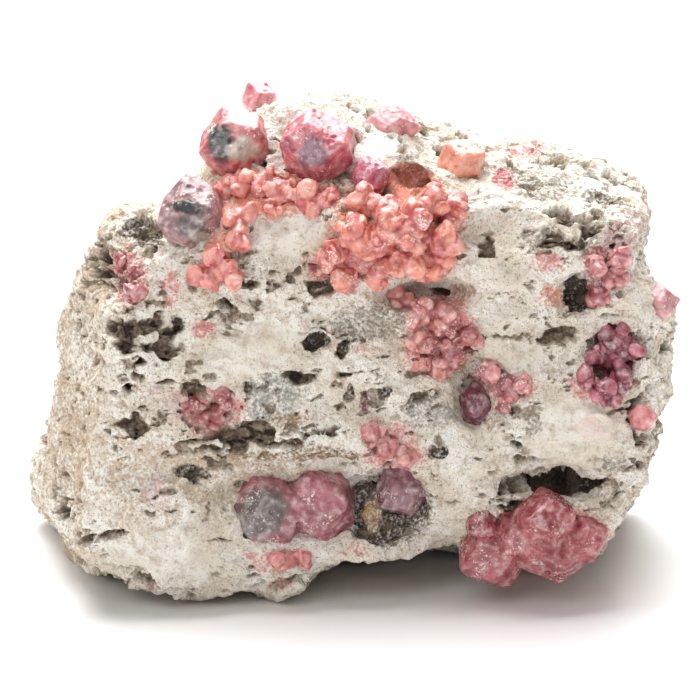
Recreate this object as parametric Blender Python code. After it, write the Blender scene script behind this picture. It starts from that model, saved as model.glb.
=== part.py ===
"""Garnet crystals on a block of pale, crumbly calc-silicate matrix.

The matrix is one solid, shaped as a broken block: its outline is read from one point of view in
front of it, its depth comes from the planes it broke along, and swells and hollows are raised or
sunk along the same lines of sight. Each large garnet, and each crust of small garnets grown
together, is a solid of its own that stands in a socket of the matrix.

Metres, +Z up, +X to the right and +Y to the back as seen from the garnet face. The origin is the
centre of the bounding box at the level the specimen rests on.
"""

import math
import random

import bmesh
import bpy
from mathutils import Euler, Matrix, Vector, noise
from mathutils.bvhtree import BVHTree

MM = 0.001

# The point of view: how far in front of the block's heart the eye is, and how far above level.
EYE_DISTANCE = 500 * MM
EYE_ELEVATION = math.radians(14)
HEART_HEIGHT = 32.7 * MM

# The gap between a crystal and its socket.
SOCKET_GAP = 0.3 * MM

# The block's outline about its heart, in millimetres right and up, clockwise from the left shoulder.
OUTLINE_MM = (
    (-38.8, 17.9), (-36.0, 22.8), (-32.6, 23.1), (-29.2, 22.5), (-25.6, 25.4), (-22.5, 28.2),
    (-20.0, 33.0), (-16.5, 36.5), (-9.3, 38.2), (-7.5, 39.4), (-3.9, 40.5), (0.0, 39.9),
    (3.4, 37.9), (7.8, 36.3), (14.0, 35.7), (20.2, 33.5), (32.6, 31.1), (38.8, 29.0),
    (43.5, 27.0), (46.0, 24.8), (46.6, 21.0), (45.5, 15.8), (46.6, 10.8), (49.6, 8.0),
    (50.3, 1.6), (49.9, -6.2), (47.4, -10.1), (46.6, -16.3), (44.4, -22.1), (41.5, -27.5),
    (38.5, -31.5), (33.0, -33.5), (24.1, -33.0), (19.0, -31.5), (16.5, -30.5), (12.4, -31.0),
    (7.8, -32.0), (-2.3, -33.5), (-5.0, -34.8), (-7.5, -37.3), (-10.1, -38.5), (-17.1, -38.8),
    (-26.4, -38.5), (-34.2, -37.0), (-39.6, -34.8), (-42.7, -32.0), (-45.8, -27.5),
    (-49.5, -23.8), (-49.9, -21.0), (-49.1, -15.5), (-48.5, -10.9), (-46.3, -6.5),
    (-45.0, -2.5), (-44.7, 2.3), (-42.7, 7.8), (-41.2, 13.2),
)

# The planes the block broke along: outward direction, and distance from its heart in millimetres.
BREAKS = {
    "face": ((0.02, -1.00, 0.10), 27.0),
    "brow": ((-0.05, -0.72, 0.69), 36.0),
    "left_brow": ((-0.42, -0.55, 0.72), 38.5),
    "crown": ((0.25, -0.10, 0.96), 36.5),
    "left_side": ((-0.96, -0.29, 0.14), 43.5),
    "left_back": ((-0.75, 0.66, 0.05), 49.0),
    "right_side": ((0.95, -0.30, 0.05), 50.0),
    "right_back": ((0.78, 0.62, 0.10), 49.0),
    "toe": ((-0.02, -0.85, -0.52), 41.0),
    "back": ((0.08, 1.00, 0.06), 31.0),
    "back_crown": ((-0.15, 0.70, 0.70), 42.0),
    "back_heel": ((0.10, 0.80, -0.60), 40.0),
    "heel": ((0.00, 0.10, -1.00), 36.0),
}
# How sharply two of these surfaces meet; a larger number is a sharper edge.
EDGE_SHARPNESS = 44

# Swells and hollows of the garnet face: right, up, half length, half width, lean in degrees from
# level, and how far it stands out towards the eye. All but the lean are in millimetres.
RELIEF_MM = {
    "lower_left_boulder": (-29.0, -28.0, 13.0, 8.0, -5, 3.5),
    "chalk_slab": (-15.0, -1.0, 12.0, 5.5, 25, 2.0),
    "right_shoulder": (33.0, -12.0, 13.0, 7.0, 5, 3.5),
    "right_apron": (17.0, -20.0, 6.5, 8.0, 0, 3.5),
    "upper_right_swell": (29.0, 14.0, 14.0, 5.0, 20, 2.0),
    "coral_swell": (7.0, 17.5, 9.0, 7.0, 10, 3.0),
    "left_post": (-34.0, 2.0, 5.0, 14.0, 0, 1.5),
    "left_shelf": (-28.0, -14.0, 10.0, 3.5, 10, 2.0),
    "cream_shoulder": (5.0, 31.0, 5.0, 3.5, -30, 2.0),
    "lower_hollow": (-4.0, -23.5, 17.0, 5.5, 0, -7.0),
    "hollow_under_apron": (16.0, -31.0, 9.0, 5.0, 0, -5.0),
    "dark_recess": (9.5, 26.0, 3.0, 2.2, 0, -4.0),
    "cleft_upper": (11.5, 9.0, 6.5, 2.2, 5, -5.5),
    "cleft_lower": (18.5, -6.0, 2.8, 6.5, 15, -5.0),
    "right_slot": (31.5, -20.3, 8.0, 1.9, 0, -7.0),
    "grey_pit": (35.0, 8.5, 3.2, 2.8, 0, -4.5),
    "left_pit": (-21.8, -10.0, 3.6, 2.8, -20, -3.5),
    "middle_pit": (-5.5, 0.6, 2.2, 1.8, 0, -2.5),
    "fold_above_centre": (0.5, -8.0, 9.0, 2.0, 30, -1.8),
    "purple_nook": (41.0, 0.0, 3.5, 4.5, 0, -4.0),
}

# The broken surface: size and height of its coarse and fine unevenness.
COARSE_SIZE, COARSE_HEIGHT = 13 * MM, 1.5 * MM
FINE_SIZE, FINE_HEIGHT = 5 * MM, 0.6 * MM

SPHERE_LEVEL = 7
MATRIX_SHARE_KEPT = 0.033

# Colours as red, green and blue of 255, and roughness.
CREAM = ((222, 212, 198), 0.85)
PINK = ((214, 126, 128), 0.25)
CORAL = ((240, 160, 138), 0.25)
RED = ((168, 78, 84), 0.22)
PLUM = ((116, 74, 82), 0.22)
SLATE = ((132, 112, 110), 0.30)

# The large garnets, and the two groups of large garnets grown into one another: colour, then for
# each crystal right, up, half the distance between opposite faces, and how far its centre stands
# out of the matrix, in millimetres.
GARNETS = {
    "garnet_crest": (PINK, [(-13.9, 39.0, 2.5, 0.4)]),
    "garnet_upper_left": (PINK, [(-17.6, 31.9, 4.8, 0.6)]),
    "garnet_left": (SLATE, [(-24.4, 21.0, 4.6, 0.6)]),
    "garnet_top": (PINK, [(-5.0, 31.3, 4.8, 1.2)]),
    "garnet_ridge": (PINK, [(6.3, 34.6, 3.2, -0.6)]),
    "garnet_magenta": (RED, [(3.3, 26.9, 2.6, 0.4)]),
    "garnet_coral": (CORAL, [(17.1, 29.0, 3.4, 0.2)]),
    "garnet_right_edge": (PINK, [(48.2, 7.3, 2.3, 0.2)]),
    "garnet_right_lower": (PINK, [(45.3, -10.4, 1.8, 0.3)]),
    "garnet_cleft": (PLUM, [(19.6, -8.6, 2.8, 0.3)]),
    "garnet_hollow": (PLUM, [(8.1, -21.7, 3.4, 0.4)]),
    "garnet_pair": (SLATE, [(-13.0, -25.6, 5.0, 0.6), (-4.8, -24.4, 5.4, 0.8)]),
    "garnet_foot": (
        RED,
        [
            (22.1, -31.0, 4.7, -0.4), (31.2, -30.6, 4.4, -0.8), (30.0, -26.6, 4.0, 0.2),
            (20.4, -27.4, 2.2, 0.6), (36.4, -29.4, 3.0, -0.4), (26.4, -28.8, 3.2, 0.4),
        ],
    ),
}

# The crusts of small garnets, one to each hollow or seam: colour, then the same four values.
CRUSTS = {
    "crust_upper": (
        CORAL,
        [
            (-19.6, 24.6, 2.0, 0.3), (-16.3, 25.6, 2.2, 0.4), (-12.9, 26.0, 2.2, 0.3),
            (-9.8, 24.2, 2.0, 0.2), (-6.6, 23.0, 2.2, 0.4), (-11.8, 21.8, 1.8, 0.2),
            (-3.2, 23.6, 1.8, 0.3),
        ],
    ),
    "crust_left": (
        CORAL,
        [
            (-17.0, 20.4, 2.4, 0.4), (-17.6, 17.0, 2.0, 0.2), (-21.0, 14.6, 1.8, 0.1),
            (-22.4, 11.8, 2.0, 0.2), (-18.4, 11.6, 2.2, 0.4),
        ],
    ),
    "crust_centre": (
        CORAL,
        [
            (2.4, 22.4, 2.2, 0.3), (5.9, 21.2, 2.6, 0.6), (0.4, 18.4, 2.4, 0.4),
            (4.4, 16.8, 2.8, 0.8), (9.3, 18.2, 3.2, 1.0), (12.2, 22.4, 2.6, 0.5),
            (15.6, 21.2, 2.4, 0.4), (14.2, 16.4, 2.8, 0.6), (-2.3, 14.8, 2.4, 0.5),
            (-0.6, 11.4, 2.0, 0.2), (4.2, 11.2, 2.4, 0.3), (8.2, 13.4, 2.6, 0.6),
            (12.6, 12.6, 2.4, 0.3),
        ],
    ),
    "crust_cleft": (
        PINK,
        [
            (8.0, 7.4, 2.0, 0.1), (11.2, 5.4, 2.2, 0.3), (14.8, 4.2, 2.2, 0.4),
            (11.6, 1.0, 2.0, 0.2), (15.4, 0.2, 2.2, 0.5), (14.2, -2.8, 1.8, 0.1),
            (18.6, 2.4, 2.0, 0.2),
        ],
    ),
    "crust_middle": (
        PINK,
        [
            (22.0, -3.2, 1.6, 0.2), (24.2, -5.8, 1.8, 0.3), (27.0, -5.0, 1.6, 0.2),
            (24.0, -8.8, 1.5, 0.2),
        ],
    ),
    "crust_right": (
        PLUM,
        [
            (38.2, -0.8, 1.8, 0.2), (39.8, 1.8, 1.8, 0.3), (42.4, 2.8, 1.8, 0.2),
            (43.6, -0.2, 1.8, 0.3), (40.8, -1.9, 2.2, 0.5), (41.8, -4.4, 1.8, 0.2),
            (37.0, -4.6, 1.7, 0.2), (40.2, -7.0, 1.8, 0.2),
        ],
    ),
    "crust_upper_right": (
        PINK,
        [
            (38.8, 8.2, 1.7, 0.1), (40.6, 11.2, 1.8, 0.2), (38.0, 13.6, 1.6, 0.1),
            (41.6, 14.8, 1.8, 0.2),
        ],
    ),
    "crust_west": (
        RED,
        [
            (-35.7, 13.7, 1.6, 0.1), (-33.5, 11.7, 1.8, 0.2), (-33.4, 8.6, 1.8, 0.1),
        ],
    ),
    "crust_lower_middle": (
        PINK,
        [
            (3.6, -13.0, 1.8, 0.2), (6.2, -15.2, 2.0, 0.3), (9.2, -16.8, 1.8, 0.1),
        ],
    ),
    "crust_lower_left": (
        PINK,
        [
            (-24.4, -8.6, 1.5, 0.1), (-21.6, -10.6, 1.8, 0.2), (-19.2, -8.0, 1.6, 0.1),
        ],
    ),
    "crust_base": (PINK, [(-7.6, -32.2, 1.8, 0.3), (-10.6, -32.9, 1.7, 0.2)]),
}

# Crystals of a group that stand further apart than this share of their two half widths are tied
# by a stem, as thick as this share of the smaller one.
GROWN_TOGETHER = 0.9
STEM_SHARE = 0.45

# The crystals over this half width have faces at uneven distances, and single or in a pair their
# edges are cut.
LARGE_CRYSTAL_MM = 2.8
FACE_UNEVENNESS = 0.07

# The twelve faces of a rhombic dodecahedron, and the 24 faces that cut its edges.
DODECAHEDRON = [
    Vector(v).normalized()
    for v in (
        (1, 1, 0), (1, -1, 0), (-1, 1, 0), (-1, -1, 0),
        (1, 0, 1), (1, 0, -1), (-1, 0, 1), (-1, 0, -1),
        (0, 1, 1), (0, 1, -1), (0, -1, 1), (0, -1, -1),
    )
]
EDGE_CUTS = [
    Vector((a * p, b * q, c * r)).normalized()
    for p, q, r in ((2, 1, 1), (1, 2, 1), (1, 1, 2))
    for a in (-1, 1)
    for b in (-1, 1)
    for c in (-1, 1)
]
# An edge of the dodecahedron is 1.155 face distances out along the direction that cuts it.
EDGE_CUT_DISTANCE = 1.10


def sight_frame():
    """The eye's place, and the directions right, up and away from it, with the heart at its centre."""
    away = Vector((0, math.cos(EYE_ELEVATION), -math.sin(EYE_ELEVATION)))
    up = Vector((0, math.sin(EYE_ELEVATION), math.cos(EYE_ELEVATION)))
    heart = Vector((0, 0, HEART_HEIGHT))
    return heart - away * EYE_DISTANCE, Vector((1, 0, 0)), up, away, heart


EYE, RIGHT, UP, AWAY, HEART = sight_frame()


def outline_reach(angle):
    """How far the outline is from the heart in this direction, in the plane square to the sight line."""
    ray = Vector((math.cos(angle), math.sin(angle)))
    best = 0.0
    for k, start in enumerate(OUTLINE_MM):
        end = OUTLINE_MM[(k + 1) % len(OUTLINE_MM)]
        edge = Vector((end[0] - start[0], end[1] - start[1]))
        spread = ray.x * edge.y - ray.y * edge.x
        if abs(spread) < 1e-9:
            continue
        reach = (start[0] * edge.y - start[1] * edge.x) / spread
        share = (start[0] * ray.y - start[1] * ray.x) / spread
        if reach > 0 and -1e-9 <= share <= 1 + 1e-9:
            best = max(best, reach)
    return best * MM


REACH_STEPS = 720
REACHES = [outline_reach(2 * math.pi * k / REACH_STEPS) for k in range(REACH_STEPS)]


def block_radius(direction):
    """The distance from the heart to the block's surface: the nearest of its outline and its breaks."""
    right, up, away = direction.dot(RIGHT), direction.dot(UP), direction.dot(AWAY)
    turn = math.atan2(up, right) / (2 * math.pi) * REACH_STEPS
    low = math.floor(turn)
    part = turn - low
    reach = REACHES[low % REACH_STEPS] * (1 - part) + REACHES[(low + 1) % REACH_STEPS] * part
    crowding = 0.0
    facing = math.hypot(right, up) * EYE_DISTANCE - reach * away
    if facing > 0:
        crowding += (reach * EYE_DISTANCE / facing) ** -EDGE_SHARPNESS
    for plane, distance in BREAKS.values():
        lean = direction.dot(Vector(plane).normalized())
        if lean > 0:
            crowding += (distance * MM / lean) ** -EDGE_SHARPNESS
    return crowding ** (-1 / EDGE_SHARPNESS)


def on_face(point):
    """Where a point is seen on the face: right and up of the heart, in the plane through the heart."""
    sight = point - EYE
    scale = EYE_DISTANCE / sight.dot(AWAY)
    return sight.dot(RIGHT) * scale, sight.dot(UP) * scale


def relief_height(point):
    """How far the swells and hollows move a point of the garnet face towards the eye."""
    right, up = on_face(point)
    height = 0.0
    for across, above, length, width, lean, stand in RELIEF_MM.values():
        east, north = right / MM - across, up / MM - above
        turn = math.radians(lean)
        along = (east * math.cos(turn) + north * math.sin(turn)) / length
        beside = (north * math.cos(turn) - east * math.sin(turn)) / width
        height += stand * math.exp(-((along * along + beside * beside) ** 1.5))
    return height * MM


def block_point(direction):
    """The point of the finished block's surface in this direction from its heart."""
    point = HEART + direction * block_radius(direction)
    toward_eye = (EYE - point).normalized()
    face_share = min(1.0, max(0.0, (-direction.dot(AWAY) - 0.05) / 0.35))
    coarse = noise.fractal(point / COARSE_SIZE, 1.0, 2.0, 2, noise_basis="BLENDER")
    fine = noise.turbulence(point / FINE_SIZE, 2, True) - 0.8
    point += direction * (coarse * COARSE_HEIGHT + fine * FINE_HEIGHT)
    return point + toward_eye * relief_height(point) * face_share


def linked(name, bm):
    """A new object with this bmesh as its mesh, which is freed."""
    mesh = bpy.data.meshes.new(name)
    bm.to_mesh(mesh)
    bm.free()
    thing = bpy.data.objects.new(name, mesh)
    bpy.context.scene.collection.objects.link(thing)
    return thing


def apply_modifiers(thing):
    """The object's mesh becomes what its modifiers make of it."""
    graph = bpy.context.evaluated_depsgraph_get()
    thing.data = bpy.data.meshes.new_from_object(thing.evaluated_get(graph))
    thing.modifiers.clear()


def keep_largest_body(thing):
    """Drops the chips that a cut has parted from the body."""
    bm = bmesh.new()
    bm.from_mesh(thing.data)
    bmesh.ops.remove_doubles(bm, verts=bm.verts[:], dist=0.002 * MM)
    left = set(bm.verts)
    bodies = []
    while left:
        body, front = set(), [left.pop()]
        while front:
            vert = front.pop()
            body.add(vert)
            for edge in vert.link_edges:
                other = edge.other_vert(vert)
                if other in left:
                    left.remove(other)
                    front.append(other)
        bodies.append(body)
    bodies.sort(key=len)
    for chip in bodies[:-1]:
        bmesh.ops.delete(bm, geom=list(chip), context="VERTS")
    bm.to_mesh(thing.data)
    bm.free()


def boxes_meet(one, other):
    """Whether the bounding boxes of two objects overlap."""
    for axis in range(3):
        a = [vert.co[axis] for vert in one.data.vertices]
        b = [vert.co[axis] for vert in other.data.vertices]
        if min(a) > max(b) or min(b) > max(a):
            return False
    return True


def combine(thing, others, operation):
    """Joins the others to the thing, or cuts them from it."""
    if operation == "DIFFERENCE":
        others = [other for other in others if boxes_meet(thing, other)]
    if not others:
        return
    group = bpy.data.collections.new("others")
    for other in others:
        group.objects.link(other)
    step = thing.modifiers.new("step", "BOOLEAN")
    step.operation = operation
    step.solver = "EXACT"
    step.operand_type = "COLLECTION"
    step.collection = group
    apply_modifiers(thing)
    bpy.data.collections.remove(group)


def floor_cutter():
    """A slab whose top is level 0, which cuts the flat foot."""
    bm = bmesh.new()
    bmesh.ops.create_cube(bm, size=400 * MM)
    bmesh.ops.translate(bm, verts=bm.verts[:], vec=(0, 0, -200 * MM))
    return linked("floor", bm)


def matrix_block():
    """The matrix before its sockets are cut."""
    bm = bmesh.new()
    bmesh.ops.create_icosphere(bm, subdivisions=SPHERE_LEVEL, radius=1.0)
    for vert in bm.verts:
        vert.co = block_point(vert.co.normalized())
    block = linked("matrix", bm)
    thin = block.modifiers.new("thin", "DECIMATE")
    thin.ratio = MATRIX_SHARE_KEPT
    apply_modifiers(block)
    floor = floor_cutter()
    combine(block, [floor], "DIFFERENCE")
    bpy.data.objects.remove(floor)
    keep_largest_body(block)
    return block


def seat(surface, right, up, stand):
    """The place on the matrix seen at (right, up) from the eye, moved out by the stand."""
    aim = HEART + (RIGHT * right + UP * up) * MM
    sight = (aim - EYE).normalized()
    place = surface.ray_cast(EYE, sight)[0]
    if place is None:
        nearest = surface.find_nearest(aim)[0]
        place = EYE + sight * ((nearest - EYE).dot(AWAY) / sight.dot(AWAY))
    return place - sight * (stand * MM)


def crystal_mesh(centre, faces, turn):
    """A convex crystal: its faces are (direction, distance from the centre)."""
    bm = bmesh.new()
    bmesh.ops.create_cube(bm, size=4 * max(distance for _, distance in faces))
    for direction, distance in faces:
        cut = bmesh.ops.bisect_plane(
            bm,
            geom=bm.verts[:] + bm.edges[:] + bm.faces[:],
            dist=1e-7,
            plane_co=direction * distance,
            plane_no=direction,
            clear_outer=True,
        )
        rim = [part for part in cut["geom_cut"] if isinstance(part, bmesh.types.BMEdge)]
        if rim:
            bmesh.ops.holes_fill(bm, edges=rim, sides=0)
    bmesh.ops.remove_doubles(bm, verts=bm.verts[:], dist=0.004 * MM)
    bmesh.ops.recalc_face_normals(bm, faces=bm.faces[:])
    bmesh.ops.rotate(bm, verts=bm.verts[:], cent=(0, 0, 0), matrix=turn.to_matrix())
    bmesh.ops.translate(bm, verts=bm.verts[:], vec=centre)
    return bm


def stem_mesh(start, end, radius, grow):
    """A six-sided stem from one crystal's centre to another's."""
    bm = bmesh.new()
    reach = end - start
    bmesh.ops.create_cone(
        bm, cap_ends=True, segments=6, radius1=radius + grow, radius2=radius + grow,
        depth=reach.length + 2 * grow,
    )
    lie = reach.to_track_quat("Z", "Y")
    bmesh.ops.rotate(bm, verts=bm.verts[:], cent=(0, 0, 0), matrix=lie.to_matrix())
    bmesh.ops.translate(bm, verts=bm.verts[:], vec=(start + end) / 2)
    return bm


def nearest_links(centres):
    """The shortest set of links that ties all the centres together."""
    tied, links = {0}, []
    while len(tied) < len(centres):
        near, far = min(
            ((a, b) for a in tied for b in range(len(centres)) if b not in tied),
            key=lambda pair: (centres[pair[0]] - centres[pair[1]]).length,
        )
        tied.add(far)
        links.append((near, far))
    return links


def crystal_parts(name, crystals, surface):
    """The pieces a garnet or a crust is joined from, each with the grown one that cuts its socket."""
    rng = random.Random(name)
    pieces, centres = [], []
    for right, up, half_width, stand in crystals:
        centre = seat(surface, right, up, stand)
        centres.append(centre)
        turn = Euler([rng.uniform(0, 2 * math.pi) for _ in range(3)])
        large = half_width > LARGE_CRYSTAL_MM
        faces = []
        for direction in DODECAHEDRON:
            uneven = rng.uniform(-FACE_UNEVENNESS, FACE_UNEVENNESS) if large else 0
            faces.append((direction, half_width * MM * (1 + uneven)))
        cuts = [(cut, half_width * MM * EDGE_CUT_DISTANCE) for cut in EDGE_CUTS]
        grown = [(direction, distance + SOCKET_GAP) for direction, distance in faces]
        whole = faces + cuts if large and len(crystals) < 3 else faces
        pieces.append((crystal_mesh(centre, whole, turn), crystal_mesh(centre, grown, turn)))
    for near, far in nearest_links(centres):
        apart = (centres[near] - centres[far]).length
        if apart < GROWN_TOGETHER * (crystals[near][2] + crystals[far][2]) * MM:
            continue
        radius = STEM_SHARE * min(crystals[near][2], crystals[far][2]) * MM
        pieces.append(
            (
                stem_mesh(centres[near], centres[far], radius, 0.0),
                stem_mesh(centres[near], centres[far], radius, SOCKET_GAP * 1.2),
            )
        )
    return pieces


def garnet_bodies(surface):
    """The garnets and crusts as objects, and the grown pieces that their sockets are cut with."""
    bodies, cutters = [], []
    for name, (colour, crystals) in {**GARNETS, **CRUSTS}.items():
        pieces = crystal_parts(name, crystals, surface)
        body = linked(name, pieces[0][0])
        rest = [linked("piece", whole) for whole, _ in pieces[1:]]
        combine(body, rest, "UNION")
        for piece in rest:
            bpy.data.objects.remove(piece)
        combine(body, cutters, "DIFFERENCE")
        keep_largest_body(body)
        paint(body, colour)
        bodies.append(body)
        for _, grown in pieces:
            cutter = linked("socket", grown)
            cutter.hide_render = True
            cutter.display_type = "WIRE"
            cutters.append(cutter)
    return bodies, cutters


def linear(value):
    """A colour value of 255 as a linear one of 1."""
    share = value / 255
    return share / 12.92 if share <= 0.04045 else ((share + 0.055) / 1.055) ** 2.4


def paint(thing, colour):
    """Gives the object a plain material of this colour and roughness."""
    shade, roughness = colour
    material = bpy.data.materials.new(thing.name)
    material.use_nodes = True
    surface = material.node_tree.nodes["Principled BSDF"]
    surface.inputs["Base Color"].default_value = (*(linear(value) for value in shade), 1.0)
    surface.inputs["Roughness"].default_value = roughness
    thing.data.materials.clear()
    thing.data.materials.append(material)


def centre_on_floor(things):
    """Moves all together, so that their box is centred on the origin and rests at level 0."""
    corners = [vert.co for thing in things for vert in thing.data.vertices]
    low = Vector([min(corner[axis] for corner in corners) for axis in range(3)])
    high = Vector([max(corner[axis] for corner in corners) for axis in range(3)])
    middle = (low + high) / 2
    for thing in things:
        thing.data.transform(Matrix.Translation((-middle.x, -middle.y, -low.z)))


def main():
    for thing in list(bpy.data.objects):
        bpy.data.objects.remove(thing)
    matrix = matrix_block()
    bm = bmesh.new()
    bm.from_mesh(matrix.data)
    surface = BVHTree.FromBMesh(bm)
    bm.free()
    bodies, cutters = garnet_bodies(surface)
    combine(matrix, cutters, "DIFFERENCE")
    for cutter in cutters:
        bpy.data.objects.remove(cutter)
    keep_largest_body(matrix)
    paint(matrix, CREAM)
    centre_on_floor([matrix, *bodies])


main()
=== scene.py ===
import itertools
import math
import random

import bmesh
import bpy
import numpy as np
from mathutils import Euler, Matrix, Vector, noise
from mathutils.bvhtree import BVHTree


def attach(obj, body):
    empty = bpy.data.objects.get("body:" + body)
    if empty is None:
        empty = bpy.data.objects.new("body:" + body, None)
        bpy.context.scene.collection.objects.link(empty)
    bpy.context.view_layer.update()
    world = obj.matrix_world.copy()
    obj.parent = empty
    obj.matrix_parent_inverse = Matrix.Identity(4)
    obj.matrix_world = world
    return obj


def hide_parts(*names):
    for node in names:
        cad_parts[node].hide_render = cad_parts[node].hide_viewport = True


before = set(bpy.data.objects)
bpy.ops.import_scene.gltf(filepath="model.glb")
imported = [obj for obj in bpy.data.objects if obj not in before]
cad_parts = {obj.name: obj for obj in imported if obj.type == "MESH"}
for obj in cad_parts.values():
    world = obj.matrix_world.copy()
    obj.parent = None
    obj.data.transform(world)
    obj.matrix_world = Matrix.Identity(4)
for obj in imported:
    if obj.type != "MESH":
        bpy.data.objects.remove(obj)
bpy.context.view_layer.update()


# The place it is seen from: half a metre in front of the block's heart and 14 degrees above level.
# Every place on the garnet face is given as it is seen from there, in millimetres right of the heart
# and up from it.
EYE_DISTANCE = 0.5
EYE_ELEVATION = math.radians(14)
HEART = Vector((0.000286, -0.000947, 0.0327))
PICTURE_WIDTH = 0.1087

AWAY = Vector((0, math.cos(EYE_ELEVATION), -math.sin(EYE_ELEVATION)))
UP = Vector((0, math.sin(EYE_ELEVATION), math.cos(EYE_ELEVATION)))
RIGHT = Vector((1, 0, 0))
EYE = HEART - AWAY * EYE_DISTANCE

camera_data = bpy.data.cameras.new("camera")
camera_data.sensor_width = 36
camera_data.lens = camera_data.sensor_width * EYE_DISTANCE / PICTURE_WIDTH
camera_data.clip_start = 0.01
camera = bpy.data.objects.new("camera", camera_data)
camera.location = EYE
camera.rotation_euler = (math.radians(90) - EYE_ELEVATION, 0, 0)
bpy.context.scene.collection.objects.link(camera)
bpy.context.scene.camera = camera


# The studio: a wide pale floor under even white light, with a large soft lamp above the block, a
# weaker one at the front left, and one over the floor behind it.
bpy.context.scene.view_settings.view_transform = "Standard"

world = bpy.data.worlds.new("studio")
world.use_nodes = True
world.node_tree.nodes["Background"].inputs["Color"].default_value = (1.0, 1.0, 1.0, 1.0)
world.node_tree.nodes["Background"].inputs["Strength"].default_value = 0.42
bpy.context.scene.world = world

FLOOR_HALF = 3.0
floor_mesh = bpy.data.meshes.new("floor")
floor_mesh.from_pydata(
    [(-FLOOR_HALF, -FLOOR_HALF, 0), (FLOOR_HALF, -FLOOR_HALF, 0),
     (FLOOR_HALF, FLOOR_HALF, 0), (-FLOOR_HALF, FLOOR_HALF, 0)],
    [], [(0, 1, 2, 3)],
)
floor = bpy.data.objects.new("floor", floor_mesh)
floor.location.z = -0.0001
bpy.context.scene.collection.objects.link(floor)
floor_paint = bpy.data.materials.new("floor")
floor_paint.use_nodes = True
floor_paint.node_tree.nodes["Principled BSDF"].inputs["Base Color"].default_value = (0.90, 0.89, 0.88, 1)
floor_paint.node_tree.nodes["Principled BSDF"].inputs["Roughness"].default_value = 0.6
floor_mesh.materials.append(floor_paint)


def soft_lamp(name, place, target, width, power):
    """A square soft lamp at a place, turned to its target."""
    light = bpy.data.lights.new(name, "AREA")
    light.size = width
    light.energy = power
    lamp = bpy.data.objects.new(name, light)
    lamp.location = place
    lamp.rotation_euler = (Vector(target) - Vector(place)).to_track_quat("-Z", "Y").to_euler()
    bpy.context.scene.collection.objects.link(lamp)


soft_lamp("lamp_above", (-0.05, 0.16, 0.62), (0, 0.03, 0.03), 0.55, 6.5)
soft_lamp("lamp_front", (-0.30, -0.60, 0.55), HEART, 0.45, 1.6)
soft_lamp("lamp_far_floor", (0.0, 0.85, 0.75), (0, 0.55, 0), 0.9, 9.0)


# The matrix: one broken block of pale, crumbly rock, cream to white with grey and brown stains. It
# carries all the garnets. Its outline, breaks and swells are those of the solid it stands for; the
# lumps, crevices and pores of its broken surface are modelled here.
OUTLINE_MM = (
    (-38.8, 17.9), (-36.0, 22.8), (-32.6, 23.1), (-29.2, 22.5), (-25.6, 25.4), (-22.5, 28.2),
    (-20.0, 33.0), (-16.5, 36.5), (-9.3, 38.2), (-7.5, 39.4), (-3.9, 40.5), (0.0, 39.9),
    (3.4, 37.9), (7.8, 36.3), (14.0, 35.7), (20.2, 33.5), (32.6, 31.1), (38.8, 29.0),
    (43.5, 27.0), (46.0, 24.8), (46.6, 21.0), (45.5, 15.8), (46.6, 10.8), (49.6, 8.0),
    (50.3, 1.6), (49.9, -6.2), (47.4, -10.1), (46.6, -16.3), (44.4, -22.1), (41.5, -27.5),
    (38.5, -31.5), (33.0, -33.5), (24.1, -33.0), (19.0, -31.5), (16.5, -30.5), (12.4, -31.0),
    (7.8, -32.0), (-2.3, -33.5), (-5.0, -34.8), (-7.5, -37.3), (-10.1, -38.5), (-17.1, -38.8),
    (-26.4, -38.5), (-34.2, -37.0), (-39.6, -34.8), (-42.7, -32.0), (-45.8, -27.5),
    (-49.5, -23.8), (-49.9, -21.0), (-49.1, -15.5), (-48.5, -10.9), (-46.3, -6.5),
    (-45.0, -2.5), (-44.7, 2.3), (-42.7, 7.8), (-41.2, 13.2),
)
BREAKS_MM = (
    ((0.02, -1.00, 0.10), 27.0), ((-0.05, -0.72, 0.69), 36.0), ((-0.42, -0.55, 0.72), 38.5),
    ((0.25, -0.10, 0.96), 36.5), ((-0.96, -0.29, 0.14), 43.5), ((-0.75, 0.66, 0.05), 49.0),
    ((0.95, -0.30, 0.05), 50.0), ((0.78, 0.62, 0.10), 49.0), ((-0.02, -0.85, -0.52), 41.0),
    ((0.08, 1.00, 0.06), 31.0), ((-0.15, 0.70, 0.70), 42.0), ((0.10, 0.80, -0.60), 40.0),
    ((0.00, 0.10, -1.00), 36.0),
)
EDGE_SHARPNESS = 44
# Swells and hollows: right, up, half length, half width, lean in degrees, and how far out.
RELIEF_MM = (
    (-29.0, -28.0, 13.0, 8.0, -5, 3.5), (-15.0, -1.0, 12.0, 5.5, 25, 2.0),
    (33.0, -12.0, 13.0, 7.0, 5, 3.5), (17.0, -20.0, 6.5, 8.0, 0, 3.5),
    (29.0, 14.0, 14.0, 5.0, 20, 2.0), (7.0, 17.5, 9.0, 7.0, 10, 3.0),
    (-34.0, 2.0, 5.0, 14.0, 0, 1.5), (-28.0, -14.0, 10.0, 3.5, 10, 2.0),
    (5.0, 31.0, 5.0, 3.5, -30, 2.0), (-4.0, -23.5, 17.0, 5.5, 0, -7.0),
    (16.0, -31.0, 9.0, 5.0, 0, -5.0), (9.5, 26.0, 3.0, 2.2, 0, -4.0),
    (11.5, 9.0, 6.5, 2.2, 5, -5.5), (18.5, -6.0, 2.8, 6.5, 15, -5.0),
    (31.5, -20.3, 8.0, 1.9, 0, -7.0), (35.0, 8.5, 3.2, 2.8, 0, -4.5),
    (-21.8, -10.0, 3.6, 2.8, -20, -3.5), (-5.5, 0.6, 2.2, 1.8, 0, -2.5),
    (0.5, -8.0, 9.0, 2.0, 30, -1.8), (41.0, 0.0, 3.5, 4.5, 0, -4.0),
)
COARSE_SIZE, COARSE_HEIGHT = 0.013, 0.0015
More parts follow.
